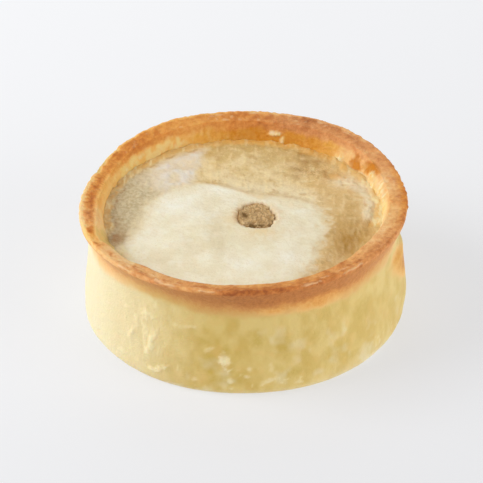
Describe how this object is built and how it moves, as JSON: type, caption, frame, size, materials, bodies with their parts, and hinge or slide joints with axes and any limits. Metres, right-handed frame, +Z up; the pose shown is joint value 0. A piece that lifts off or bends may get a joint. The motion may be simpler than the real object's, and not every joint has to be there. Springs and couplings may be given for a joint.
{
  "type": "scotch pie",
  "caption": "Round scotch pie: straight-sided pastry case with a raised browned rim, a floury sunken lid and mince showing at its steam hole.",
  "frame": {"origin": "the middle of the flat base, on the axis of the round case", "axes": "+Z up out of the lid, -Y towards the front as pictured, +X to the right"},
  "size_m": [0.0907, 0.0905, 0.0362],
  "materials": {
    "baked_case": "baked hot-water pastry: waxy yellow wall with fat-soaked patches, browned flaky rim",
    "baked_lid": "baked pastry lid: dry white flour in front, tan and speckled where fat has soaked through",
    "cooked_mince": "cooked mince, grainy and slightly greasy"
  },
  "bodies": {
    "root": {"pastry_case": "baked_case", "pastry_lid": "baked_lid", "mince_filling": "cooked_mince"}
  },
  "joints": []
}
